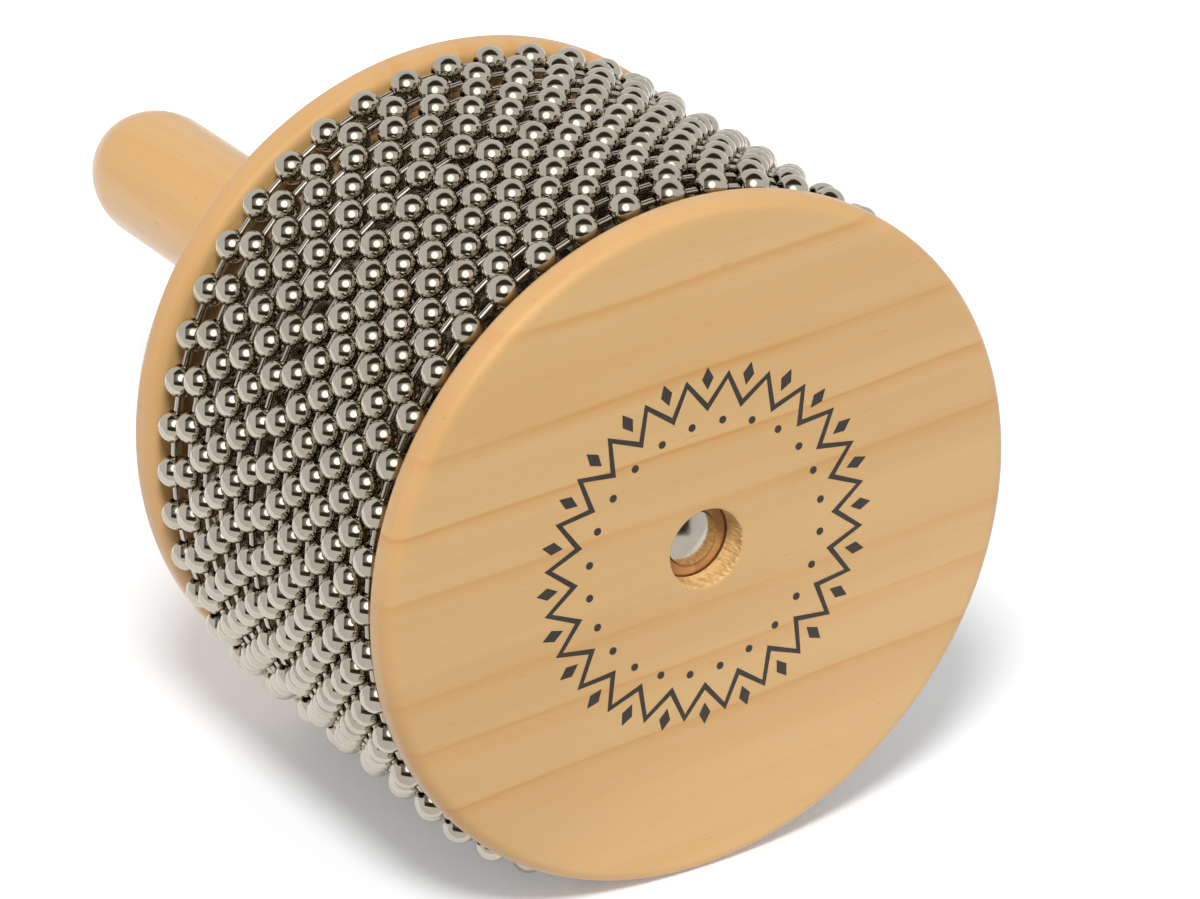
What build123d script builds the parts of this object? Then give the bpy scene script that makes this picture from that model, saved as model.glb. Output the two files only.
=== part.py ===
from build123d import *
from itertools import combinations
from math import atan2, cos, degrees, floor, pi, sin, sqrt
import os

# A cabasa lying on its side, in millimetres.
# X runs across the drum, +Y along its axis from the front disc back to the handle, and +Z up.
# The origin is on the floor, under the middle of the whole length.

# End discs
disc_diameter = 108.0
disc_thickness = 5.8
disc_edge_radius = 2.2
disc_hole_diameter = 12.2

# Ball chain: each loop is a ring of balls joined by short pins
bead_diameter = 5.1
link_length = 2.04
link_diameter = 1.2
link_play = 0.08
close_loops = 8
loose_loops = 6
close_bead_gap = 0.3
loose_bead_gap = 0.725
front_gap = 0.9
rear_gap = 2.14
first_bead_angle = 40.5

# Room for the loops between the rims of the discs and the drum
bead_rim_drop = 0.25
bead_sleeve_clearance = 0.3

# Drum
sleeve_thickness = 0.5
sleeve_seam = 0.8
core_clearance = 0.05

# Spigots of the core, which sit in the backs of the discs and centre them
spigot_diameter = 24.0
spigot_height = 1.6
spigot_clearance = 0.1

# Handle
handle_diameter = 21.9
handle_length = 105.0
handle_tip_length = 14.5

# Tie bolt with a plain domed head and a square neck, and the threaded insert in the handle
bolt_diameter = 5.0
bolt_clearance = 0.3
bolt_grip = 12.0
bolt_head_diameter = 8.2
bolt_head_rim = 0.6
bolt_head_dome = 1.5
bolt_head_proud = 3.0
bolt_head_clearance = 0.25
neck_length = 4.0
neck_clearance = 0.05
insert_diameter = 9.0
insert_length = 15.0
insert_clearance = 0.05
thread_clearance = 0.05
pilot_extra_depth = 3.0

# Places that follow from the sizes above
disc_radius = disc_diameter / 2
bead_radius = bead_diameter / 2
loop_radius = disc_radius - bead_rim_drop - bead_radius
sleeve_radius = loop_radius - bead_radius - bead_sleeve_clearance
core_radius = sleeve_radius - sleeve_thickness - core_clearance
beads_per_loop = floor(2 * pi * loop_radius / (bead_diameter + link_length))
bead_angle = 360 / beads_per_loop
link_chord = 2 * loop_radius * sin(pi / beads_per_loop)
stagger_chord = 2 * loop_radius * sin(pi / beads_per_loop / 2)


def nested_spacing(bead_gap):
    """Distance along the drum between two staggered loops whose beads stay bead_gap apart."""
    reach = bead_diameter + bead_gap
    nested = sqrt(max(reach**2 - stagger_chord**2, 0))
    return max(nested, reach / 2)


def loop_places():
    """Distance of each loop's middle from the front of the discs, first loop first."""
    place = disc_thickness + front_gap + bead_radius
    places = [place]
    steps = [nested_spacing(close_bead_gap)] * (close_loops - 1)
    steps += [nested_spacing(loose_bead_gap)] * loose_loops
    for step in steps:
        place += step
        places.append(place)
    return places


drum_front = disc_thickness
drum_back = loop_places()[-1] + bead_radius + rear_gap
drum_width = drum_back - drum_front
rear_disc_back = drum_back + disc_thickness
total_length = rear_disc_back + handle_length

# Local Z is the drum's axis, from the front face backwards, and local -Y is up
drum_frame = Location((0, -total_length / 2, disc_radius), (-90, 0, 0))
base = (Align.CENTER, Align.CENTER, Align.MIN)


def rod(diameter, length, start):
    """A round bar along the drum's axis, from start backwards."""
    return Pos(0, 0, start) * Cylinder(diameter / 2, length, align=base)


# The core reaches into both discs with its spigots
spigot_front = drum_front - spigot_height
spigot_back = drum_back + spigot_height
recess_diameter = spigot_diameter + 2 * spigot_clearance
recess_depth = spigot_height + spigot_clearance

# The bolt's head lies in the hole of the front disc, let a little into the end of the core
bolt_bore = bolt_diameter + 2 * bolt_clearance
head_top = drum_front - bolt_head_proud
head_seat = head_top + bolt_head_dome + bolt_head_rim
neck_end = head_seat + neck_length
counterbore_diameter = bolt_head_diameter + 2 * bolt_head_clearance


def end_disc(start, hole_diameter, recess_start):
    """A wooden disc with both rims rounded, a hole through its middle and a recess for the spigot."""
    blank = rod(disc_diameter, disc_thickness, start)
    rounding = min(disc_edge_radius, 0.45 * disc_thickness)
    blank = fillet(blank.edges().filter_by(GeomType.CIRCLE), rounding)
    blank -= rod(recess_diameter, recess_depth, recess_start)
    return blank - rod(hole_diameter, disc_thickness, start)


def square_bar(width, start, end):
    """A square bar along the drum's axis."""
    return Pos(0, 0, start) * Box(width, width, end - start, align=base)


def drum_core():
    """The wooden block between the discs, with its spigots, the bolt's bore and the seat of its head."""
    block = rod(2 * core_radius, drum_width, drum_front)
    block += rod(spigot_diameter, spigot_back - spigot_front, spigot_front)
    block -= rod(bolt_bore, spigot_back - spigot_front, spigot_front)
    block -= rod(counterbore_diameter, head_seat - spigot_front, spigot_front)
    return block - square_bar(bolt_diameter + 2 * neck_clearance, head_seat, neck_end)


def steel_sleeve():
    """Sheet steel rolled round the core, with its two edges butted under the drum."""
    tube = rod(2 * sleeve_radius, drum_width, drum_front)
    tube -= rod(2 * (sleeve_radius - sleeve_thickness), drum_width, drum_front)
    slit = Box(sleeve_seam, 2 * sleeve_radius, drum_width, align=(Align.CENTER, Align.MIN, Align.MIN))
    return tube - Pos(0, 0, drum_front) * slit


def handle():
    """A round stick turned to a long rounded tip, drilled for the insert and the tip of the bolt."""
    stick_radius = handle_diameter / 2
    tip_start = rear_disc_back + handle_length - handle_tip_length
    # The tip is an oval of two tangent arcs, a flat one from the stick and a tighter one over the nose
    nose_radius = stick_radius**2 / handle_tip_length
    side_radius = handle_tip_length * (handle_tip_length + stick_radius) / (2 * stick_radius)
    side_turn = degrees(atan2(abs(handle_tip_length - nose_radius), abs(side_radius - stick_radius)))
    side = JernArc((stick_radius, tip_start), (0, 1), side_radius, side_turn)
    nose = JernArc(side @ 1, side % 1, nose_radius, 90 - side_turn)
    walls = Polyline(nose @ 1, (0, rear_disc_back), (stick_radius, rear_disc_back), side @ 0)
    stick = revolve(make_face(Plane.XZ * (side + nose + walls)), Axis.Z)
    pilot_depth = max(insert_length, bolt_grip) + pilot_extra_depth
    return stick - rod(insert_diameter + 2 * insert_clearance, pilot_depth, rear_disc_back)


def tie_bolt():
    """A long bolt from the front of the core into the handle, with a domed head and a square neck."""
    head_radius = bolt_head_diameter / 2
    dome_radius = (head_radius**2 + bolt_head_dome**2) / (2 * bolt_head_dome)
    head = rod(bolt_head_diameter, bolt_head_dome + bolt_head_rim, head_top)
    head &= Pos(0, 0, head_top + dome_radius) * Sphere(dome_radius)
    shank = rod(bolt_diameter, rear_disc_back + bolt_grip - head_seat, head_seat)
    return head + square_bar(bolt_diameter, head_seat, neck_end) + shank


def handle_insert():
    """A threaded bush in the end of the handle, which takes the end of the bolt."""
    bush = rod(insert_diameter, insert_length, rear_disc_back)
    return bush - rod(bolt_diameter + 2 * thread_clearance, insert_length, rear_disc_back)


def ball():
    """One bead as a ball of twenty flats, with two opposite flats facing along local Y."""
    golden = (1 + sqrt(5)) / 2
    size = bead_radius / sqrt(1 + golden**2)
    corners = []
    for short in (-size, size):
        for tall in (-size * golden, size * golden):
            corners += [Vector(0, short, tall), Vector(short, tall, 0), Vector(tall, 0, short)]
    flats = []
    for trio in combinations(corners, 3):
        longest = max((a - b).length for a, b in combinations(trio, 2))
        if longest < 2.01 * size:
            flats.append(Face(Wire.make_polygon(trio)))
    through_flats = Plane(origin=(0, 0, 0), x_dir=(1, -1, 0), z_dir=(1, 1, 1))
    return Rot(90, 0, 0) * through_flats.to_local_coords(Solid(Shell(flats)))


def link_pin():
    """One pin along local Y that reaches from the flat of one ball to the flat of the next."""
    flat = ball().faces().sort_by(Axis.Y)[-1]
    length = link_chord - 2 * (flat.center().Y + link_play)
    section = RegularPolygon(link_diameter / 2, 3)
    return Rot(90, 0, 0) * extrude(section, length / 2, both=True)


def ring_of(piece, radius, place, first_angle):
    """Copies of one piece round the drum, as separate solids, on a ring at the given place."""
    ring = PolarLocations(radius, beads_per_loop, first_angle)
    return Compound([Pos(0, 0, place) * spot * piece for spot in ring])


def export(node, shape):
    """Write one sub-part in its place on the lying instrument."""
    export_step(drum_frame * shape, f"parts/{node}.step")


os.makedirs("parts", exist_ok=True)
export("front_disc", end_disc(0, disc_hole_diameter, drum_front - recess_depth))
export("rear_disc", end_disc(drum_back, bolt_bore, drum_back))
export("drum_core", drum_core())
export("steel_sleeve", steel_sleeve())
export("handle", handle())
export("tie_bolt", tie_bolt())
export("handle_insert", handle_insert())

one_ball = ball()
one_pin = link_pin()
pin_ring_radius = loop_radius * cos(pi / beads_per_loop)
for number, place in enumerate(loop_places(), start=1):
    start = first_bead_angle + (number % 2) * bead_angle / 2
    balls = ring_of(one_ball, loop_radius, place, start)
    pins = ring_of(one_pin, pin_ring_radius, place, start + bead_angle / 2)
    export(f"bead_balls_{number:02d}", balls)
    export(f"bead_links_{number:02d}", pins)

print(f"{beads_per_loop} beads a loop, drum {drum_width:.2f} wide, {total_length:.2f} long")
print("loops at", [round(place, 2) for place in loop_places()])
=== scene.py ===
# %% [markdown]
# # A cabasa on a white table
# A cabasa is a hand percussion instrument. Loops of steel ball chain lie round a drum between two wooden discs,
# and the player holds the beads in the palm and twists the handle.
# The measured model comes in as a fixed frame, in metres, with the drum's axis along Y and the floor at Z = 0.
# We keep the frame's pieces where their shape is right and only give them a finish. Where the real piece has more
# form than the frame, as the chains, the discs, the handle and the bolt have, we build a finer piece that stands
# for it.

# %% Load the frame
import math
import random

import bmesh
import bpy
from mathutils import Matrix, Vector, noise


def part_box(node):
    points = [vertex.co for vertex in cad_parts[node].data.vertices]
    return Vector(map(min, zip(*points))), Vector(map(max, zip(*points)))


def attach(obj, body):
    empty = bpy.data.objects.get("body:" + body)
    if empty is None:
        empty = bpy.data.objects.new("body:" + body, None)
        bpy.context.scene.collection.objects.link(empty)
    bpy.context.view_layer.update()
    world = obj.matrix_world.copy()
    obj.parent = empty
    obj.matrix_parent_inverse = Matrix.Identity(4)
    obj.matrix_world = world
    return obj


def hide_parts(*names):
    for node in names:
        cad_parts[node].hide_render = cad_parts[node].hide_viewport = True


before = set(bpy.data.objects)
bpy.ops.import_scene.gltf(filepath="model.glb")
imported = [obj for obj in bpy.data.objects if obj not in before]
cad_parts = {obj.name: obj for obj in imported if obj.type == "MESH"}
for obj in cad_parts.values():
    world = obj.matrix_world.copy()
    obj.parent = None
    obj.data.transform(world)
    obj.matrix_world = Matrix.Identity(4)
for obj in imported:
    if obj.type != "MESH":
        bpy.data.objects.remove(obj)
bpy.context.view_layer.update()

scene = bpy.context.scene
mm = 0.001
print("pieces in the frame:", len(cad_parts))

# %% [markdown]
# The main sizes that the frame already knows are read from it, so that the new pieces fit. Only the boxes of the
# pieces are needed: the front face of the drum, its axis, and where the rear disc and the handle begin.

# %% Measure the frame
disc_low, disc_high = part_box("front_disc")
rear_low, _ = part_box("rear_disc")
handle_low, handle_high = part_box("handle")
front_face = disc_low.y
disc_radius = (disc_high.z - disc_low.z) / 2
disc_thickness = disc_high.y - disc_low.y
axis_height = (disc_high.z + disc_low.z) / 2
print(f"disc {2 * disc_radius / mm:.2f} mm across and {disc_thickness / mm:.2f} mm thick")

# %% [markdown]
# ## The camera
# The photograph was taken with a long lens from the front left, looking down by about 26 degrees. The place and
# the turn of the camera were worked out from the outlines of the two discs. A camera in Blender looks along its own
# -Z, so its matrix is made of three directions: to its right, up, and back towards the photographer.

# %% Set up the camera
def put_in_scene(name, data):
    """Make an object from a mesh, a lamp or a camera, and add it to the scene."""
    thing = bpy.data.objects.new(name, data)
    scene.collection.objects.link(thing)
    return thing


lens_right = Vector((0.84402, -0.53631, 0.0))
lens_up = Vector((0.23442, 0.36892, 0.89941))
lens_back = Vector((-0.48237, -0.75912, 0.43710))
camera_place = (-0.39398, -0.68164, 0.41515)
camera_data = bpy.data.cameras.new("photo_camera")
camera_data.lens = 164.79
camera_data.sensor_width = 36.0
camera_data.sensor_fit = "HORIZONTAL"
camera = put_in_scene("photo_camera", camera_data)
camera_turn = Matrix((lens_right, lens_up, lens_back)).transposed().to_4x4()
camera.matrix_world = Matrix.Translation(camera_place) @ camera_turn
scene.camera = camera
print("camera at", [round(value, 3) for value in camera.location])

# %% [markdown]
# ## Helpers for shader nodes
# All finishes here are made of shader nodes, with no pictures. Small helpers keep that readable: one adds a node
# and fills in its inputs, one does sums, one mixes colours, and one turns a number into a soft step. Three more
# start a finish, raise it a little where a pattern is high, and close it with a shader. Colours are written as the
# 0 to 255 values of a screen, and changed to the linear values that Blender works with.

# %% Node helpers
def add_node(tree, kind, inputs=(), **settings):
    """Add a shader node, with settings and {input name or number: value or socket to wire in}."""
    made = tree.nodes.new("ShaderNode" + kind)
    for key, value in settings.items():
        setattr(made, key, value)
    for key, value in dict(inputs).items():
        if isinstance(value, bpy.types.NodeSocket):
            tree.links.new(value, made.inputs[key])
        else:
            made.inputs[key].default_value = value
    return made


def sums(tree, operation, first, second=0.0):
    return add_node(tree, "Math", {0: first, 1: second}, operation=operation).outputs[0]


def mixed(tree, share, first, second):
    return add_node(tree, "Mix", {0: share, 6: first, 7: second}, data_type="RGBA").outputs[2]


def soft_step(tree, value, low, high, start=0.0, end=1.0):
    inputs = {0: value, 1: low, 2: high, 3: start, 4: end}
    return add_node(tree, "MapRange", inputs, interpolation_type="SMOOTHSTEP").outputs[0]


def screen_colour(red, green, blue):
    linear = [(v / 255 / 12.92 if v < 10 else ((v / 255 + 0.055) / 1.055) ** 2.4) for v in (red, green, blue)]
    return (*linear, 1.0)


print("mid grey is", [round(v, 3) for v in screen_colour(128, 128, 128)])

# %% Finish helpers
def new_finish(name):
    finish = bpy.data.materials.new(name)
    finish.use_nodes = True
    finish.node_tree.nodes.clear()
    return finish, finish.node_tree


def raised(tree, height, strength, distance):
    return add_node(tree, "Bump", {"Strength": strength, "Distance": distance, "Height": height}).outputs[0]


def close_finish(tree, colour, roughness, more=()):
    """Close a finish with a shader of a colour and a roughness, and {name: value} of any more inputs."""
    inputs = {"Base Color": colour, "Roughness": roughness, **dict(more)}
    shader = add_node(tree, "BsdfPrincipled", inputs)
    add_node(tree, "OutputMaterial", {"Surface": shader.outputs[0]})


print("finish helpers ready")

# %% [markdown]
# ## The light tent
# Polished beads show what stands round them, so the studio matters as much as the metal. In every bead of the
# photograph there are pale walls left, right and behind, a pale table below, and a dark opening where the camera
# looks in, with an arched top and a low sill. A band of light lies across its middle, round the lamp, brighter to
# the right. We paint that tent into the world. The direction half way between the looked-at direction and the lens
# tells where on a ball the reflection would sit, so the arch can be drawn in that space as it looks on a bead. Its
# places and sizes are shares of a bead's radius.
# Only reflections see it: the wood gets an even fill, and the background itself stays white.

# %% Face the tent
tent_wall = (0.80, 0.80, 0.79, 1)
tent_dark = (0.045, 0.036, 0.024, 1)
tent_fill = (0.53, 0.53, 0.53, 1)
white = (1, 1, 1, 1)
lamp_white = (2.3, 2.3, 2.3, 1)
tent = bpy.data.worlds.new("light_tent")
tent.use_nodes = True
scene.world = tent
tree = tent.node_tree
tree.nodes.clear()
looked_at = add_node(tree, "TexCoord").outputs["Generated"]
half_way = add_node(tree, "VectorMath", {0: looked_at, 1: lens_back}, operation="ADD").outputs[0]
half_way = add_node(tree, "VectorMath", {0: half_way}, operation="NORMALIZE").outputs[0]
across = add_node(tree, "VectorMath", {0: half_way, 1: lens_right}, operation="DOT_PRODUCT").outputs["Value"]
upward = add_node(tree, "VectorMath", {0: half_way, 1: lens_up}, operation="DOT_PRODUCT").outputs["Value"]
print("directions of the tent worked out with", len(tree.nodes), "nodes")

# %% Paint the tent into the world
arch_height, arch_middle, arch_width, arch_blur = 0.72, 0.06, 0.86, 0.04
sill_drop, sill_middle, sill_width, sill_blur = 0.34, 0.45, 2.6, 0.012
left_edge, right_edge = (-0.43, -0.38), (0.505, 0.517)
band_height, band_middle, band_width, band_blur = 0.39, 0.08, 1.8, 0.035
band_foot = (-0.09, 0.01)
spill_left, spill_right, dim_spill, bright_spill = -0.40, 0.16, 0.14, 0.80
lamp_across, lamp_up, lamp_edge = 0.03, 0.14, (0.155, 0.225)


def squared(tree, value, middle, width):
    share = sums(tree, "DIVIDE", sums(tree, "SUBTRACT", value, middle), width)
    return sums(tree, "MULTIPLY", share, share)


arch_top = sums(tree, "SUBTRACT", arch_height, squared(tree, across, arch_middle, arch_width))
opening = soft_step(tree, sums(tree, "SUBTRACT", upward, arch_top), -arch_blur, arch_blur, 1, 0)
opening = sums(tree, "MULTIPLY", opening, soft_step(tree, across, *left_edge))
opening = sums(tree, "MULTIPLY", opening, soft_step(tree, across, *right_edge, 1, 0))
sill = sums(tree, "SUBTRACT", squared(tree, across, sill_middle, sill_width), sill_drop)
above_sill = soft_step(tree, sums(tree, "SUBTRACT", upward, sill), -sill_blur, sill_blur)
opening = sums(tree, "MULTIPLY", opening, above_sill)
band_top = sums(tree, "SUBTRACT", band_height, squared(tree, across, band_middle, band_width))
band = soft_step(tree, sums(tree, "SUBTRACT", upward, band_top), -band_blur, band_blur, 1, 0)
band = sums(tree, "MULTIPLY", band, soft_step(tree, upward, *band_foot))
spill = soft_step(tree, across, spill_left, spill_right, dim_spill, bright_spill)
inside = mixed(tree, sums(tree, "MULTIPLY", band, spill), tent_dark, white)
off_lamp = sums(tree, "ADD", squared(tree, across, lamp_across, 1.0), squared(tree, upward, lamp_up, 1.0))
lamp_face = soft_step(tree, sums(tree, "SQRT", off_lamp), *lamp_edge, 1, 0)
inside = mixed(tree, lamp_face, inside, lamp_white)
mirrored_tent = mixed(tree, opening, tent_wall, inside)
path = add_node(tree, "LightPath")
mirrored = sums(tree, "MAXIMUM", path.outputs["Is Glossy Ray"], path.outputs["Is Transmission Ray"])
light = mixed(tree, mirrored, tent_fill, mirrored_tent)
light = mixed(tree, path.outputs["Is Camera Ray"], light, white)
background = add_node(tree, "Background", {"Color": light})
add_node(tree, "OutputWorld", {"Surface": background.outputs[0]})
print("tent painted with", len(tree.nodes), "nodes")

# %% [markdown]
# The white spot in the middle of every bead is a lamp's face, which the tent shows already. The light that it
# throws on the wood comes from a round lamp high at the front left. The shadow tells where it hangs: a narrow dark
# strip lies along the left of the drum, and a wide soft one behind its right side, with nothing in front. The lamp
# is hidden from reflections.

# %% Hang the lamp
def hang_lamp(name, direction, distance, width, watts):
    """A round soft lamp that looks at the front of the drum from a direction."""
    lamp_data = bpy.data.lights.new(name, "AREA")
    lamp_data.shape = "DISK"
    lamp_data.size = width
    lamp_data.energy = watts
    lamp = put_in_scene(name, lamp_data)
    lamp.location = Vector((0, front_face, axis_height)) + direction * distance
    lamp.rotation_mode = "QUATERNION"
    lamp.rotation_quaternion = direction.to_track_quat("Z", "Y")
    lamp.visible_glossy = False
    return lamp


key_direction = Vector((-0.335, -0.479, 0.812))
key_lamp = hang_lamp("key_lamp", key_direction, distance=1.5, width=0.34, watts=17.0)
print("lamp at", [round(v, 3) for v in key_lamp.location])

# %% [markdown]
# The table is a white sheet that ends just in front of the drum. It gets a little white of its own where the camera
# or a reflection looks at it, so that it melts into the background and still keeps the shadow. Behind the drum that
# glow is stronger: there it is painted light that washes out the handle's shadow on the table.

# %% Lay the table
white_behind, white_in_front = 0.50, 0.20
table_half, table_front, table_back = 0.6, 0.10, -0.9

table_paint, tree = new_finish("white_table")
path = add_node(tree, "LightPath")
seen = sums(tree, "MAXIMUM", path.outputs["Is Camera Ray"], path.outputs["Is Glossy Ray"])
seen = sums(tree, "MAXIMUM", seen, path.outputs["Is Transmission Ray"])
matt = add_node(tree, "BsdfDiffuse", {"Color": (0.846, 0.860, 0.878, 1)})
towards_lens = Vector((lens_back.x, lens_back.y, 0)).normalized()
where = add_node(tree, "TexCoord").outputs["Object"]
forward = add_node(tree, "VectorMath", {0: where, 1: towards_lens}, operation="DOT_PRODUCT").outputs["Value"]
# painted light: the glow is stronger behind the drum, where it washes out the handle's shadow
own_level = soft_step(tree, forward, -0.115, -0.03, white_behind, white_in_front)
own_white = add_node(tree, "Emission", {"Strength": sums(tree, "MULTIPLY", seen, own_level)})
both = add_node(tree, "AddShader", {0: matt.outputs[0], 1: own_white.outputs[0]})
add_node(tree, "OutputMaterial", {"Surface": both.outputs[0]})

table_corners = []
for aside, ahead in ((-table_half, table_front), (table_half, table_front),
                     (table_half, table_back), (-table_half, table_back)):
    table_corners.append(lens_right * aside + towards_lens * ahead)
table_mesh = bpy.data.meshes.new("white_table")
table_mesh.from_pydata([tuple(corner) for corner in table_corners], [], [(0, 1, 2, 3)])
table_mesh.materials.append(table_paint)
white_table = put_in_scene("white_table", table_mesh)
scene.view_settings.view_transform = "Standard"
print(f"table {2 * table_half:.1f} m wide and {table_front - table_back:.1f} m deep")

# %% [markdown]
# ## Pale wood for the discs
# The discs are cut from a pale softwood board. Its growth rings cross the face as thin orange lines, about a
# centimetre apart, that rise a little to the right. Between them lie fine fibres and a few short dark flecks, and
# a satin lacquer covers it all. The lines are not evenly spaced on the real board, so each line gets its place one
# by one in a colour ramp: sharp on its upper side, and fading out below. The rounded rim cuts the fibres across and
# soaks up more lacquer, so it turns a little darker. The finish is worked out in space, so the rim shows the same
# board as the face.

# %% Wood helpers
def speckle(tree, space, scale=1.0, detail=2.0, roughness=0.5):
    inputs = {"Vector": space, "Scale": scale, "Detail": detail, "Roughness": roughness}
    return add_node(tree, "TexNoise", inputs).outputs["Fac"]


def board_space(tree, turn, stretch=(1, 1, 1)):
    """Object coordinates with their middle on the drum's axis, turned to lie along the grain, then stretched."""
    where = add_node(tree, "TexCoord").outputs["Object"]
    middle = (0, 0, -axis_height)
    moved = add_node(tree, "VectorMath", {0: where, 1: middle}, operation="ADD").outputs[0]
    turned_in = add_node(tree, "Mapping", {"Vector": moved, "Rotation": turn}).outputs[0]
    return add_node(tree, "VectorMath", {0: turned_in, 1: stretch}, operation="MULTIPLY").outputs[0]


def grain(tree, turn, stretch, detail=2.0, roughness=0.5):
    """Speckles drawn out along the grain: the smaller the stretch, the longer they are."""
    return speckle(tree, board_space(tree, turn, stretch), 1.0, detail, roughness)


def lacquered(tree, colour, roughness, height, coat):
    """Close a wood finish: colour under a thin coat of satin lacquer, with the grain just felt."""
    bump = raised(tree, height, 0.25, 0.00008)
    close_finish(tree, colour, roughness, {"Normal": bump, "Coat Weight": coat, "Coat Roughness": 0.22, "IOR": 1.48})


print("wood helpers ready")

# %% Draw the growth lines
# Each line: its height as a share of the disc's radius, its strength, and over how many millimetres it fades out
ring_lines = (
    (-0.524, 0.74, 1.6), (-0.335, 0.56, 3.6), (-0.17, 0.42, 2.4),
    (0.136, 0.56, 2.2), (0.327, 0.80, 2.0), (0.533, 0.85, 1.9), (0.816, 0.66, 1.8),
)
rear_lines = tuple((0.93 * -place + 0.04, depth, fade) for place, depth, fade in ring_lines)


def ring_ramp(tree, height, lines):
    """How strong the growth lines are at a height on the disc, from a ramp with four stops for each line."""
    share = add_node(tree, "MapRange", {0: height, 1: -disc_radius, 2: disc_radius}).outputs[0]
    ramp = add_node(tree, "ValToRGB", {0: share})
    stops = ramp.color_ramp.elements
    stops[0].position, stops[0].color = 0.0, (0, 0, 0, 1)
    stops[1].position, stops[1].color = 1.0, (0, 0, 0, 1)
    for place, depth, fade in lines:
        middle = (place + 1) / 2
        for offset, strength in ((-fade, 0.0), (-0.4, 0.5), (0.1, 1.0)):
            stop = stops.new(min(max(middle + offset * mm / (2 * disc_radius), 0.001), 0.999))
            stop.color = (strength * depth, strength * depth, strength * depth, 1)
        stops.new(middle + 0.45 * mm / (2 * disc_radius)).color = (0, 0, 0, 1)
    return ramp.outputs[0]


print("growth lines on each board:", len(ring_lines))

# %% Cut the boards
pale_wood = screen_colour(220, 180, 122)
warm_wood = screen_colour(214, 172, 113)
line_wood = screen_colour(206, 136, 57)
end_grain = screen_colour(206, 152, 96)
dark_fleck = screen_colour(150, 98, 52)
line_wander = 0.006
dark_rim = 2.6 * mm


def board_wood(name, tilt, lines):
    finish, tree = new_finish(name)
    turn = (0, math.radians(tilt), 0)
    plain = board_space(tree, turn)
    wander = sums(tree, "SUBTRACT", grain(tree, turn, (9, 25, 24)), 0.5)
    height = add_node(tree, "SeparateXYZ", {0: plain}).outputs["Z"]
    height = sums(tree, "ADD", height, sums(tree, "MULTIPLY", wander, line_wander))
    broken = grain(tree, turn, (30, 60, 160), 3.0)
    ring = sums(tree, "MULTIPLY", ring_ramp(tree, height, lines), soft_step(tree, broken, 0.25, 0.65, 0.45, 1.0))
    fibres = grain(tree, turn, (45, 500, 2400), 3.0, 0.6)
    bands = grain(tree, turn, (7, 30, 120))
    flecks = soft_step(tree, grain(tree, turn, (260, 700, 2600), 1.0), 0.72, 0.80)
    colour = mixed(tree, soft_step(tree, bands, 0.3, 0.7), pale_wood, warm_wood)
    colour = mixed(tree, ring, colour, line_wood)
    colour = mixed(tree, soft_step(tree, fibres, 0.35, 0.75, 0.0, 0.10), colour, line_wood)
    colour = mixed(tree, sums(tree, "MULTIPLY", flecks, 0.20), colour, dark_fleck)
    in_plane = add_node(tree, "VectorMath", {0: plain, 1: (1, 0, 1)}, operation="MULTIPLY").outputs[0]
    radius = add_node(tree, "VectorMath", {0: in_plane}, operation="LENGTH").outputs["Value"]
    at_rim = soft_step(tree, radius, disc_radius - dark_rim, disc_radius, 0.0, 0.45)
    colour = mixed(tree, at_rim, colour, end_grain)
    lacquered(tree, colour, soft_step(tree, fibres, 0.2, 0.8, 0.34, 0.46), fibres, coat=0.25)
    return finish


front_wood = board_wood("front_disc_wood", 4.0, ring_lines)
rear_wood = board_wood("rear_disc_wood", 68.0, rear_lines)
print("boards cut:", front_wood.name, rear_wood.name)

# %% [markdown]
# ## Turned wood
# The discs are turned: a flat face, both rims rounded, and a hole through the middle. Spinning a profile round the
# drum's axis does the same as the lathe. The hole was bored through the finished board, and its edge is torn on
# the right and below, where the drill lifted the fibres. So the front disc's wall gets rows of points that are
# then pushed outwards by ragged amounts, most near the face and not at all at the far end.

# %% Spin a profile
def mesh_from(shape, name):
    mesh = bpy.data.meshes.new(name)
    shape.to_mesh(mesh)
    shape.free()
    return mesh


def spun_shape(points, centre, axis, steps, closed):
    """A line of points, closed or open, spun all the way round an axis."""
    shape = bmesh.new()
    corners = [shape.verts.new(point) for point in points]
    pairs = zip(corners, corners[1:] + (corners[:1] if closed else []))
    edges = [shape.edges.new(pair) for pair in pairs]
    bmesh.ops.spin(shape, geom=corners + edges, cent=centre, axis=axis, angle=2 * math.pi, steps=steps,
                   use_merge=True)
    bmesh.ops.remove_doubles(shape, verts=shape.verts, dist=1e-7)
    bmesh.ops.recalc_face_normals(shape, faces=shape.faces)
    return shape


def spun(name, profile, steps, finish, closed=True):
    """A piece turned round the drum's axis from a profile of (radius, distance behind the front face)."""
    points = [(radius, front_face + back, axis_height) for radius, back in profile]
    mesh = mesh_from(spun_shape(points, (0, 0, axis_height), (0, 1, 0), steps, closed), name)
    mesh.shade_smooth()
    mesh.set_sharp_from_angle(angle=math.radians(35))
    mesh.materials.append(finish)
    return put_in_scene(name, mesh)


def arc(centre, radius, start, end, count):
    """Points of a quarter or less of a circle in the profile, angles in degrees."""
    angles = [math.radians(start + (end - start) * n / count) for n in range(count + 1)]
    return [(centre[0] + radius * math.cos(a), centre[1] + radius * math.sin(a)) for a in angles]


print("an arc of four steps has", len(arc((0, 0), 1, 0, 90, 4)), "points")

# %% Turn the discs
front_hole, rear_hole = 6.1 * mm, 2.8 * mm
rim_rounding = 2.2 * mm
recess_radius, front_recess, rear_recess = 12.1 * mm, 2.05 * mm, 1.7 * mm
lip_rounding, wall_step = 0.35 * mm, 0.28 * mm


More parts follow.
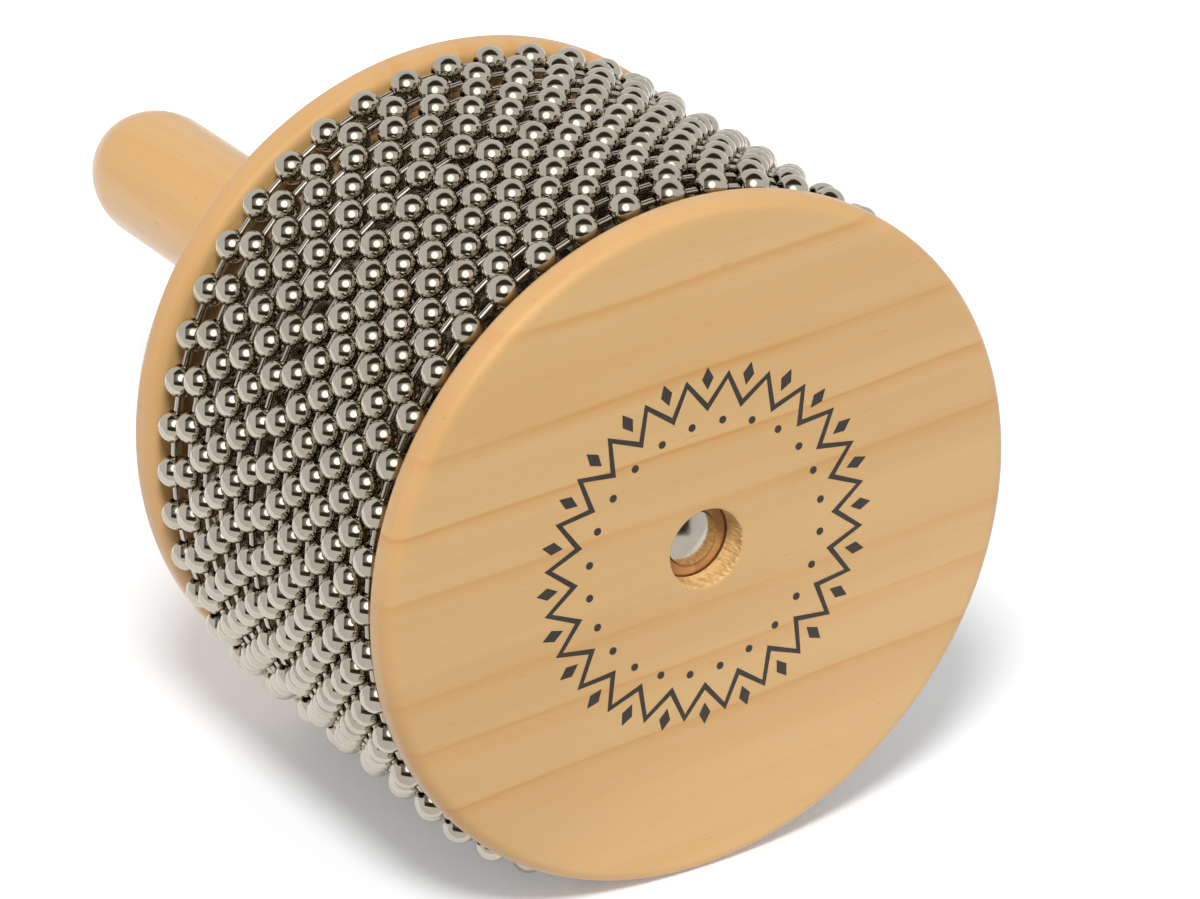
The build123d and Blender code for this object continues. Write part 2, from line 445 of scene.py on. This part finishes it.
def disc_profile(start, hole, recess_at_back):
    """Half a section of a disc: its hole, the rounded rims, and the recess for the core's spigot."""
    end = start + disc_thickness
    rim = disc_radius - rim_rounding
    front = [(r * mm, start) for r in (16, 22, 30, 38, 45, 49)]
    front += arc((rim, start + rim_rounding), rim_rounding, -90, 0, 10)
    back = arc((rim, end - rim_rounding), rim_rounding, 0, 90, 10)
    back += [(r * mm, end) for r in (49, 38, 30, 22, 16)]
    if recess_at_back:
        lip = arc((hole + lip_rounding, start + lip_rounding), lip_rounding, 180, 270, 4)
        wall = [(hole, end - front_recess - n * wall_step) for n in range(12)]
        seat = [(recess_radius, end), (recess_radius, end - front_recess)]
        return lip + [(hole + 1.5 * mm, start)] + front + back + seat + wall
    seat = [(hole, start + rear_recess), (recess_radius, start + rear_recess), (recess_radius, start)]
    return seat + front + back + [(hole, end)]


front_disc = spun("turned_front_disc", disc_profile(0.0, front_hole, True), 240, front_wood)
rear_disc = spun("turned_rear_disc", disc_profile(rear_low.y - front_face, rear_hole, False), 160, rear_wood)
print("front disc has", len(front_disc.data.polygons), "faces")

# %% Tear the edge of the hole
tear_width, tear_depth = 2.5 * mm, 3.4 * mm
bare_radius, bare_start, bare_end = 7.2 * mm, 0.15 * mm, 3.7 * mm


def torn_edge(piece, hole):
    for corner in piece.data.vertices:
        point = corner.co - Vector((0, front_face, axis_height))
        radius = math.hypot(point.x, point.z)
        if radius > hole + tear_width or point.y > tear_depth:
            continue
        angle = math.atan2(point.z, point.x)
        sector = max(0.0, math.cos(angle + 0.7)) ** 1.5
        near_face = max(0.0, 1 - point.y / tear_depth)
        rag = noise.noise((angle * 26, point.y / mm * 0.8, 3.1))
        rag += 0.6 * noise.noise((angle * 60, point.y / mm, 8.0))
        near_hole = max(0.0, 1 - (radius - hole) / tear_width)
        push = sector * near_face * (0.40 + 0.50 * rag) * mm * near_hole
        corner.co.x += push * math.cos(angle)
        corner.co.z += push * math.sin(angle)


def bare_fibres_and_painted_light(name):
    finish, tree = new_finish(name)
    fuzz = grain(tree, (0, 0, 0), (900, 500, 2600), 3.0, 0.65)
    shade = soft_step(tree, fuzz, 0.3, 0.7)
    # partly painted light: the pale end is raised above the wood's own tone to lift the shade on the wall of the
    # hole; the fuzz of bare fibres is the wood's own
    colour = mixed(tree, shade, screen_colour(198, 152, 92), screen_colour(238, 200, 140))
    bump = raised(tree, fuzz, 0.7, 0.0004)
    close_finish(tree, colour, soft_step(tree, fuzz, 0.2, 0.8, 0.7, 0.9), {"Normal": bump})
    return finish


torn_edge(front_disc, front_hole)
front_disc.data.materials.append(bare_fibres_and_painted_light("torn_fibres_and_painted_light"))
for face in front_disc.data.polygons:
    middle = face.center - Vector((0, front_face, axis_height))
    if math.hypot(middle.x, middle.z) < bare_radius and bare_start < middle.y < bare_end:
        face.material_index = 1
for disc, node in ((front_disc, "front_disc"), (rear_disc, "rear_disc")):
    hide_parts(node)
    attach(disc, "drum")
print("hole torn on its right and lower edge")

# %% [markdown]
# ## The handle
# The handle is a round stick with a long rounded tip, turned from plain wood. The profile is the stick's side and
# two arcs that run into each other. On the photographed instrument it does not stand quite square on the disc: it
# dips by a millimetre and a half towards its end, which we do by sliding each ring of points down a little.
# Its grain runs along the stick and hardly shows. The rings were cut lengthwise, so they are long pale stripes,
# which we get from the distance to a line that runs beside the stick, where the middle of the tree was. The core
# of the drum is dressed in a browner wood that is made the same way.

# %% Finish the handle and the core
stick_fleck = screen_colour(176, 118, 62)


def stick_wood(name, heart, spacing, pale, warm, line, ring_share):
    finish, tree = new_finish(name)
    turn = (math.radians(0.8), 0, math.radians(-1.0))
    flat = board_space(tree, turn, (1, 0.02, 1))
    away = add_node(tree, "VectorMath", {0: flat, 1: heart}, operation="SUBTRACT").outputs[0]
    reach = add_node(tree, "VectorMath", {0: away}, operation="LENGTH").outputs["Value"]
    wander = grain(tree, turn, (70, 6, 70))
    reach = sums(tree, "ADD", reach, sums(tree, "MULTIPLY", wander, 0.004))
    count = sums(tree, "FRACT", sums(tree, "DIVIDE", reach, spacing))
    ring = sums(tree, "MULTIPLY", soft_step(tree, count, 0.25, 0.9), soft_step(tree, count, 0.93, 1.0, 1, 0))
    fibres = grain(tree, turn, (2200, 40, 2200), 3.0, 0.6)
    bands = grain(tree, turn, (160, 6, 160))
    flecks = soft_step(tree, grain(tree, turn, (1000, 240, 1000), 1.0), 0.70, 0.78)
    colour = mixed(tree, soft_step(tree, bands, 0.3, 0.7), pale, warm)
    colour = mixed(tree, sums(tree, "MULTIPLY", ring, ring_share), colour, line)
    colour = mixed(tree, soft_step(tree, fibres, 0.35, 0.75, 0.0, 0.10), colour, line)
    colour = mixed(tree, sums(tree, "MULTIPLY", flecks, 0.35), colour, stick_fleck)
    lacquered(tree, colour, soft_step(tree, fibres, 0.2, 0.8, 0.30, 0.42), fibres, coat=0.35)
    return finish


def dress(node, finish):
    """Give a piece of the frame its finish, in every material slot that it has."""
    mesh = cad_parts[node].data
    if not mesh.materials:
        mesh.materials.append(finish)
    for n in range(len(mesh.materials)):
        mesh.materials[n] = finish


handle_wood = stick_wood("handle_stick_wood", (-0.024, 0, 0.016), 0.0046, screen_colour(223, 176, 112),
                         screen_colour(218, 170, 105), line_wood, 0.12)
core_wood = stick_wood("core_block_wood", (0.09, 0, 0.03), 0.005, screen_colour(206, 155, 102),
                       screen_colour(193, 140, 88), screen_colour(166, 112, 66), 0.45)
dress("drum_core", core_wood)
print("core dressed")

# %% Turn the handle
stick_radius = (handle_high.z - handle_low.z) / 2
stick_start, stick_end = handle_low.y - front_face, handle_high.y - front_face
tip_length = 14.5 * mm
ring_step = 9 * mm
handle_lean = 0.0143
nose_radius = stick_radius ** 2 / tip_length
side_radius = tip_length * (tip_length + stick_radius) / (2 * stick_radius)
side_turn = math.degrees(math.atan2(tip_length - nose_radius, side_radius - stick_radius))
stick = [(0.0, stick_start), (6 * mm, stick_start), (stick_radius, stick_start)]
stick += [(stick_radius, stick_start + n * ring_step) for n in range(1, 10)]
stick += arc((stick_radius - side_radius, stick_end - tip_length), side_radius, 0, side_turn, 12)
stick += arc((0.0, stick_end - nose_radius), nose_radius, side_turn, 90, 12)[1:-1] + [(0.0, stick_end)]
turned_handle = spun("turned_handle", stick, 96, handle_wood, closed=False)
for corner in turned_handle.data.vertices:
    corner.co.z -= handle_lean * (corner.co.y - front_face - stick_start)
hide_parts("handle")
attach(turned_handle, "drum")
print(f"handle {2 * stick_radius / mm:.1f} mm thick, a side arc of {side_turn:.0f} degrees before its nose")

# %% [markdown]
# ## Metals
# The balls and links are polished nickel, a slightly warm grey. Polished metal takes nearly all its look from what
# it mirrors, so the finish itself is simple: full metal, a low roughness that varies with handling, and very faint
# ripples from rolling the balls. The links are duller wire.

# %% Mix the metals
def bare_metal(name, tone, worn_tone, polish, worn_polish, grain_size, ripple):
    finish, tree = new_finish(name)
    where = add_node(tree, "TexCoord").outputs["Object"]
    handling = speckle(tree, where, 160.0)
    scratches = speckle(tree, where, grain_size, 3.0, 0.65)
    colour = mixed(tree, soft_step(tree, handling, 0.35, 0.7), tone, worn_tone)
    wear = sums(tree, "MULTIPLY", handling, scratches)
    roughness = soft_step(tree, wear, 0.12, 0.42, polish, worn_polish)
    bump = raised(tree, scratches, ripple, 0.00002)
    close_finish(tree, colour, roughness, {"Normal": bump, "Metallic": 1.0})
    return finish


bead_nickel = bare_metal("bead_nickel", (0.56, 0.51, 0.43, 1), (0.51, 0.46, 0.38, 1), 0.06, 0.14, 900.0, 0.15)
link_nickel = bare_metal("link_nickel", (0.56, 0.51, 0.44, 1), (0.46, 0.41, 0.35, 1), 0.12, 0.22, 900.0, 0.2)
bolt_steel = bare_metal("bolt_head_steel", (0.58, 0.53, 0.45, 1), (0.54, 0.49, 0.41, 1), 0.08, 0.18, 700.0, 0.1)
insert_brass = bare_metal("insert_brass", (0.60, 0.42, 0.17, 1), (0.50, 0.34, 0.13, 1), 0.22, 0.40, 700.0, 0.3)
dress("handle_insert", insert_brass)
print("brass for the insert, nickel for the beads")

# %% [markdown]
# The bolt's head shows deep in the hole, as a pale disc with a dark corner. That corner is the opening of the tent
# again, so the head must be polished. It mirrors the tent nearly to its edge and little of the wall of the hole, so
# it is only a little domed. Round it lies the end of the core. Where the core meets the disc, a thin dark ring of
# painted shade stands for the shadow deep in the joint.

# %% Turn the bolt
_, bolt_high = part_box("tie_bolt")
bolt_end = bolt_high.y - front_face
crown, brim, head_back = 3.3 * mm, 3.8 * mm, 4.9 * mm
head_radius, shank_radius = 4.2 * mm, 2.5 * mm
bulge = (head_radius ** 2 + (brim - crown) ** 2) / (2 * (brim - crown))
spread = math.degrees(math.asin(head_radius / bulge))
bolt = arc((0.0, crown + bulge), bulge, -90, spread - 90, 12)
bolt += [(head_radius, head_back), (shank_radius, head_back), (shank_radius, bolt_end), (0.0, bolt_end)]
turned_bolt = spun("turned_bolt", bolt, 64, bolt_steel, closed=False)
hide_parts("tie_bolt")
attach(turned_bolt, "drum")
print(f"bolt head {2 * head_radius / mm:.1f} mm across, its crown {crown / mm:.1f} mm behind the face")

# %% Paint the shade in the joint
joint_shade, tree = new_finish("painted_joint_shade")
where = add_node(tree, "TexCoord").outputs["Object"]
# painted shade: two dark browns on a thin ring stand for the shadow deep in the joint between the core and the disc
tone = mixed(tree, speckle(tree, where, 900.0), screen_colour(84, 48, 22), screen_colour(118, 74, 38))
close_finish(tree, tone, 0.6)
joint_shade_ring = [(5.95 * mm, 4.17 * mm), (6.05 * mm, 4.05 * mm), (6.6 * mm, 3.95 * mm), (6.6 * mm, 4.19 * mm)]
joint_shade_line = spun("joint_shade_line", joint_shade_ring, 96, joint_shade)
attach(joint_shade_line, "drum")
print("glue line has", len(joint_shade_line.data.polygons), "faces")

# %% [markdown]
# The sleeve round the core is sheet steel with a fine stipple, which the beads scrape on. Hardly any of it shows
# between them from the camera, and there it mirrors the dark sides of the beads.

# %% Stipple the sleeve
sleeve_steel, tree = new_finish("stippled_sleeve_steel")
where = add_node(tree, "TexCoord").outputs["Object"]
dents = add_node(tree, "TexVoronoi", {"Vector": where, "Scale": 620.0, "Randomness": 0.35}).outputs["Distance"]
smears = speckle(tree, where, 90.0, 3.0)
tone = mixed(tree, soft_step(tree, smears, 0.3, 0.7), (0.54, 0.48, 0.40, 1), (0.40, 0.35, 0.285, 1))
bump = raised(tree, dents, 0.35, 0.0003)
close_finish(tree, tone, soft_step(tree, smears, 0.3, 0.7, 0.14, 0.26), {"Normal": bump, "Metallic": 1.0})
dress("steel_sleeve", sleeve_steel)
print("metals mixed:", [m.name for m in bpy.data.materials if "steel" in m.name or "nickel" in m.name])

# %% [markdown]
# ## One bead and one link
# A ball of the chain is rolled from a flat strip. It is hollow and has a small hole at each end where the link goes
# in. The seam where the edges of the strip meet is too fine to see at this size, so we simply spin half a circle
# all the way round. The link is a thin round wire.

# %% Make a bead and a link
bead_radius = 2.55 * mm
bead_hole = 0.74 * mm
lip_depth, lip_edge = 0.4 * mm, 0.12 * mm
bead_rows, bead_steps = 14, 22
wire_radius, wire_sides = 0.52 * mm, 10


def one_bead():
    hole_angle = math.asin(bead_hole / bead_radius)
    lip = bead_radius * math.cos(hole_angle)
    outline = [(bead_hole, lip - lip_depth), (bead_hole, lip - lip_edge)]
    for n in range(bead_rows + 1):
        angle = hole_angle + (math.pi - 2 * hole_angle) * n / bead_rows
        outline.append((bead_radius * math.sin(angle), bead_radius * math.cos(angle)))
    outline += [(radius, -height) for radius, height in outline[1::-1]]
    points = [(radius, 0, height) for radius, height in outline]
    return mesh_from(spun_shape(points, (0, 0, 0), (0, 0, 1), bead_steps, closed=False), "one_bead")


def one_link():
    """A wire one metre long, to be shortened to the gap that it bridges."""
    shape = bmesh.new()
    bmesh.ops.create_cone(shape, cap_ends=False, segments=wire_sides, radius1=wire_radius, radius2=wire_radius,
                          depth=1.0)
    return mesh_from(shape, "one_link")


bead_mesh, link_mesh = one_bead(), one_link()
print("one bead has", len(bead_mesh.polygons), "faces")

# %% [markdown]
# ## How a loop hangs
# The loops are longer than the drum is round, so they are slack: the slack hangs out at the lower left, and the
# lowest beads rest on the table. How far a loop stands from the axis was measured on the photograph, from the white
# spots of the beads and from the outline. The sides that it does not show are guessed. We write that distance down,
# in millimetres, for every 20 degrees from the top towards the left, run a smooth curve through it, and press the
# curve flat at the table. Beads then go along that line at equal steps of length, not of angle, because the links
# are all the same.

# %% Hang the loops
slack_reach = (52.72, 52.85, 52.68, 52.02, 51.72, 52.02, 53.05, 54.00, 54.05,
               53.20, 52.40, 51.80, 51.40, 51.20, 51.20, 51.40, 51.90, 52.45)
beads_per_loop = 45
table_gap, table_softness = 0.06 * mm, 0.5 * mm


def reach_at(angle):
    """Distance of the slack loop from the drum's axis, on a smooth curve through the written values."""
    count = len(slack_reach)
    place = angle / (2 * math.pi) * count
    first = math.floor(place)
    share = place - first
    a, b, c, d = (slack_reach[(first + n) % count] for n in (-1, 0, 1, 2))
    curve = (c - a) * share + (2 * a - 5 * b + 4 * c - d) * share ** 2 + (3 * b - a - 3 * c + d) * share ** 3
    return (b + curve / 2) * mm


def hanging_line(angle):
    """A point of the slack loop, as (across, up), at an angle from the top of the drum towards the left."""
    reach = reach_at(angle)
    across = -reach * math.sin(angle)
    up = axis_height + reach * math.cos(angle)
    lowest = bead_radius + table_gap
    pressed = (up - lowest) / table_softness
    if pressed < 30:
        up = lowest + table_softness * math.log1p(math.exp(pressed))
    return across, up


def even_steps(first_angle, count):
    """Points along the slack loop, all the same length apart, from the first angle on."""
    fine = 3600
    line = [hanging_line(first_angle + 2 * math.pi * n / fine) for n in range(fine + 1)]
    walked = [0.0]
    for a, b in zip(line, line[1:]):
        walked.append(walked[-1] + math.dist(a, b))
    places, at = [], 0
    for n in range(count):
        goal = walked[-1] * n / count
        while walked[at + 1] < goal:
            at += 1
        share = (goal - walked[at]) / (walked[at + 1] - walked[at])
        a, b = line[at], line[at + 1]
        places.append((a[0] + (b[0] - a[0]) * share, a[1] + (b[1] - a[1]) * share))
    return places, walked[-1]


_, loop_length = even_steps(0.0, beads_per_loop)
print(f"a loop is {loop_length / mm:.1f} mm long, {loop_length / beads_per_loop / mm:.2f} mm from bead to bead")

# %% [markdown]
# ## Fourteen loops
# Where each loop sits along the drum, and where its first bead sits round it, was measured on the photograph. The
# rows nest in each other like the cells of a comb, but not perfectly: the loops shift a little as they settle. A
# slow wander of a few hundredths of a millimetre along each loop keeps that handmade look, and every ball leans a
# little on its link. Each loop becomes one piece that turns with its own body.

# %% String the chains
loop_places = (8.76, 13.44, 17.48, 21.65, 25.8, 29.63, 33.63, 37.57, 42.36, 46.8, 51.43, 56.14, 60.95, 66.15)
loop_angles = (40.9, 38.1, 42.2, 38.3, 42.4, 38.4, 42.3, 38.1, 40.4, 36.4, 40.6, 36.3, 41.1, 35.2)
full_turn = 6.28
chance = random.Random(14)


def upright(direction, roll):
    """A matrix that turns local Z to the direction, with a roll about it."""
    return direction.to_track_quat("Z", "Y").to_matrix().to_4x4() @ Matrix.Rotation(roll, 4, "Z")


def add_copy(chain, mesh, place_matrix, slot):
    """Add one bead or link to a chain, in its place and with its finish."""
    first_corner, first_face = len(chain.verts), len(chain.faces)
    chain.from_mesh(mesh)
    chain.verts.ensure_lookup_table()
    chain.faces.ensure_lookup_table()
    bmesh.ops.transform(chain, matrix=place_matrix, verts=chain.verts[first_corner:])
    for face in chain.faces[first_face:]:
        face.material_index = slot
        face.smooth = True


def strung_loop(number, place, first_angle):
    points, _ = even_steps(math.radians(first_angle), beads_per_loop)
    phase, sway = chance.uniform(0, full_turn), chance.uniform(0.02, 0.07) * mm
    centres = []
    for n, (across, up) in enumerate(points):
        round_angle = 2 * math.pi * n / beads_per_loop
        along = front_face + place * mm + sway * math.sin(2 * round_angle + phase)
        along += chance.uniform(-0.03, 0.03) * mm
        centres.append(Vector((across, along, up)))
    chain = bmesh.new()
    for n, centre in enumerate(centres):
        after, before = centres[(n + 1) % beads_per_loop], centres[n - 1]
        lean = Vector([chance.uniform(-0.05, 0.05) for _ in range(3)])
        bead_turn = upright((after - before).normalized() + lean, chance.uniform(0, full_turn))
        add_copy(chain, bead_mesh, Matrix.Translation(centre) @ bead_turn, 0)
        middle, gap = (centre + after) / 2, after - centre
        shortened = Matrix.Diagonal((1, 1, gap.length - bead_radius, 1))
        add_copy(chain, link_mesh, Matrix.Translation(middle) @ upright(gap, 0) @ shortened, 1)
    made = mesh_from(chain, f"chain_loop_{number:02d}")
    made.materials.append(bead_nickel)
    made.materials.append(link_nickel)
    return put_in_scene(made.name, made), centres


strung = []
for number, (place, first_angle) in enumerate(zip(loop_places, loop_angles), start=1):
    piece, centres = strung_loop(number, place, first_angle)
    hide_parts(f"bead_balls_{number:02d}", f"bead_links_{number:02d}")
    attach(piece, f"bead_loop_{number:02d}")
    strung.append(centres)
print("loops strung:", len(strung), "with", sum(len(centres) for centres in strung), "beads")

# %% Check that the beads keep apart
closest = min((a - b).length for one, other in zip(strung, strung[1:]) for a in one for b in other)
print(f"closest beads of neighbouring loops: {(closest - 2 * bead_radius) / mm:.2f} mm apart")

# %% [markdown]
# ## The print on the front
# The front face carries a simple printed band in dark ink: a zigzag ring with a small diamond in each tooth and a
# row of dots inside it. Each mark is a thin flat mesh that lies a hair's breadth above the lacquer, so its edges
# stay crisp at any size.

# %% Mix the ink
ink, tree = new_finish("printed_ink")
where = add_node(tree, "TexCoord").outputs["Object"]
patchy = speckle(tree, where, 700.0, 3.0)
tone = mixed(tree, soft_step(tree, patchy, 0.3, 0.75), screen_colour(43, 36, 31), screen_colour(58, 48, 40))
close_finish(tree, tone, soft_step(tree, patchy, 0.3, 0.7, 0.38, 0.5))
ink_lift = 0.03 * mm


def printed(name, outlines):
    """Flat marks on the front face. Each outline is a closed list of (radius in mm, angle in degrees)."""
    shape = bmesh.new()
    for outline in outlines:
        corners = []
        for radius, degrees in outline:
            angle = math.radians(degrees)
            across, up = radius * mm * math.sin(angle), radius * mm * math.cos(angle)
            corners.append(shape.verts.new((across, front_face - ink_lift, axis_height + up)))
        shape.faces.new(corners)
    bmesh.ops.recalc_face_normals(shape, faces=shape.faces)
    for face in shape.faces:
        if face.normal.y > 0:
            face.normal_flip()
    mesh = mesh_from(shape, name)
    mesh.materials.append(ink)
    piece = put_in_scene(name, mesh)
    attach(piece, "drum")


print("ink mixed:", ink.name)

# %% Print the band
teeth = 24
pitch = 360 / teeth
valley, valley_top, peak, peak_top = 22.0, 23.3, 26.6, 27.9
diamond_foot, diamond_waist, diamond_tip, diamond_half = 25.4, 27.2, 29.0, 2.1
dot_ring, dot_radius, dot_sides = 20.2, 0.62, 12

zigzag, diamonds, dots = [], [], []
for n in range(teeth):
    a, b, c = n * pitch, (n + 0.5) * pitch, (n + 1) * pitch
    zigzag.append([(valley, a), (peak, b), (peak_top, b), (valley_top, a)])
    zigzag.append([(peak, b), (valley, c), (valley_top, c), (peak_top, b)])
    diamonds.append([(diamond_foot, a), (diamond_waist, a + diamond_half), (diamond_tip, a),
                     (diamond_waist, a - diamond_half)])
    middle = Vector((dot_ring * math.sin(math.radians(b)), dot_ring * math.cos(math.radians(b))))
    turns = [2 * math.pi * side / dot_sides for side in range(dot_sides)]
    rim = [middle + Vector((dot_radius * math.cos(turn), dot_radius * math.sin(turn))) for turn in turns]
    dots.append([(p.length, math.degrees(math.atan2(p.x, p.y))) for p in rim])
for name, outlines in (("print_zigzag", zigzag), ("print_diamonds", diamonds), ("print_dots", dots)):
    printed(name, outlines)
print("marks printed:", len(zigzag) + len(diamonds) + len(dots))
